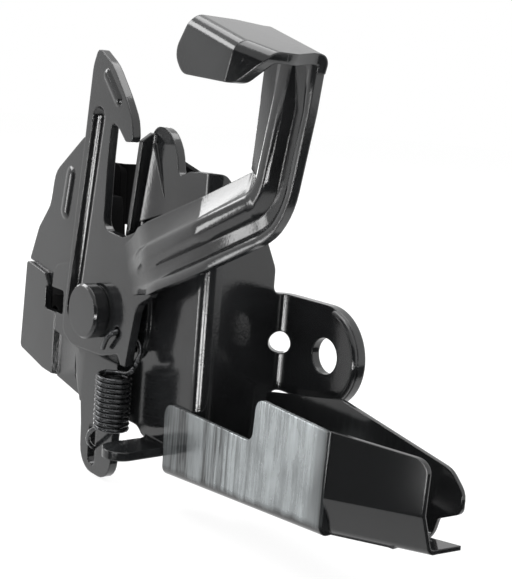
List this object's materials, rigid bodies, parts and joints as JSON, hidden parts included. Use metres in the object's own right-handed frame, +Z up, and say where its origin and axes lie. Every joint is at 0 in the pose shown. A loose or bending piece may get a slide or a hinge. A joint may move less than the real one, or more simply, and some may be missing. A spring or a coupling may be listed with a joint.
{
  "type": "bonnet latch",
  "caption": "Stamped bonnet latch with a rotary claw and pawl in a striker slot, a sprung safety catch with a finger lever, a bolt ear and a sheet cable guard.",
  "frame": {"origin": "centre of the bolt hole in the ear, on the ear's rear face where it seats on the vehicle", "axes": "+X along the plate towards the guard's open end, +Y back into the vehicle, +Z up"},
  "size_m": [0.1639, 0.0523, 0.1201],
  "materials": {
    "black_paint": "glossy black dip paint on pressed steel",
    "guard_paint": "thin glossy black paint on drawn sheet",
    "lock_steel": "dark oiled steel",
    "spring_steel": "blackened spring wire"
  },
  "bodies": {
    "base": {"base_plate": "black_paint", "rear_plate": "black_paint", "claw_rivet": "lock_steel", "pawl_rivet": "lock_steel", "catch_rivet": "black_paint", "catch_bush": "lock_steel", "catch_washer": "black_paint", "catch_spring": "spring_steel", "cable_guard": "guard_paint"},
    "catch": {"safety_catch": "black_paint"},
    "claw": {"striker_claw": "lock_steel", "claw_spring": "spring_steel"},
    "pawl": {"release_pawl": "lock_steel", "pawl_spring": "spring_steel"}
  },
  "joints": [
    {"name": "catch_swing", "type": "hinge", "parent": "base", "child": "catch", "pos_m": [-0.0568, -0.03215, 0.002], "axis": [0, -1, 0], "range_deg": [0, 22], "stiffness_Nm_per_rad": 0.3, "springref_deg": -28.65, "deforming": ["catch_spring"]},
    {"name": "claw_turn", "type": "hinge", "parent": "base", "child": "claw", "pos_m": [-0.0368, -0.0215, 0.022], "axis": [0, -1, 0], "range_deg": [0, 34], "stiffness_Nm_per_rad": 0.2, "springref_deg": -22.92},
    {"name": "pawl_release", "type": "hinge", "parent": "base", "child": "pawl", "pos_m": [-0.0808, -0.0215, -0.006], "axis": [0, -1, 0], "range_deg": [0, 12], "stiffness_Nm_per_rad": 0.2, "springref_deg": -17.19}
  ]
}
